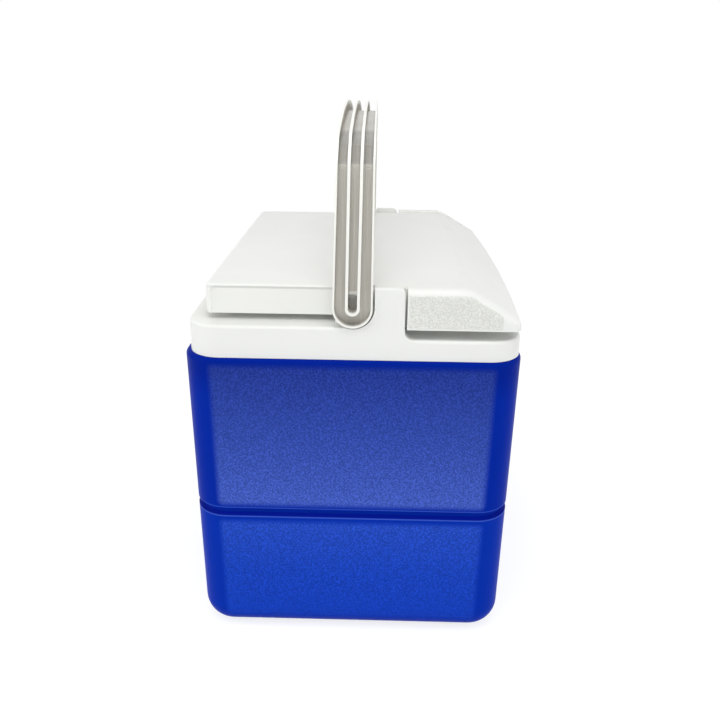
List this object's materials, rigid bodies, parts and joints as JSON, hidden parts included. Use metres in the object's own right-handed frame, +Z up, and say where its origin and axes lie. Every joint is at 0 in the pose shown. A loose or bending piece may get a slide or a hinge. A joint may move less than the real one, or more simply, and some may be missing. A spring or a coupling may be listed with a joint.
{
  "type": "vaccine carrier",
  "caption": "Insulated vaccine carrier: blue drafted box with a finger groove, white collar, rear-hinged lid with finger ears, ribbed bail handle and coolant packs inside.",
  "frame": {"origin": "centre of the footprint, on the surface that the box stands on", "axes": "+Z up, X along the box, lid hinge at the rear (+Y), bowed front edge of the lid at -Y"},
  "size_m": [0.3498, 0.2638, 0.4316],
  "materials": {
    "blue_shell": "satin",
    "white_plastic": "satin",
    "handle_plastic": "satin",
    "liner_plastic": "gloss",
    "foam": "matte",
    "gasket": "matte",
    "pin_steel": "satin",
    "pack_plastic": "satin",
    "cap_plastic": "satin"
  },
  "bodies": {
    "box": {"outer_shell": "blue_shell", "body_foam": "foam", "inner_liner": "liner_plastic", "collar": "white_plastic", "hinge_pin_left": "pin_steel", "hinge_pin_right": "pin_steel", "coolant_pack_front_left": "pack_plastic", "coolant_pack_front_right": "pack_plastic", "coolant_pack_rear_left": "pack_plastic", "coolant_pack_rear_right": "pack_plastic", "coolant_pack_end_left": "pack_plastic", "coolant_pack_end_right": "pack_plastic", "pack_cap_front_left": "cap_plastic", "pack_cap_front_right": "cap_plastic", "pack_cap_rear_left": "cap_plastic", "pack_cap_rear_right": "cap_plastic", "pack_cap_end_left": "cap_plastic", "pack_cap_end_right": "cap_plastic"},
    "lid": {"lid_shell": "white_plastic", "lid_foam": "foam", "lid_liner": "liner_plastic", "lid_gasket": "gasket"},
    "handle": {"handle": "handle_plastic"}
  },
  "joints": [
    {"name": "lid_hinge", "type": "hinge", "parent": "box", "child": "lid", "pos_m": [0, 0.1015, 0.2975], "axis": [-1, 0, 0], "range_deg": [0, 86]},
    {"name": "handle_swing", "type": "hinge", "parent": "box", "child": "handle", "pos_m": [0, 0, 0.293], "axis": [-1, 0, 0], "range_deg": [0, 90.8]}
  ],
  "couplings": [
    {"joint": "handle_swing", "follows": "lid_hinge", "ratio": 1.0547}
  ]
}
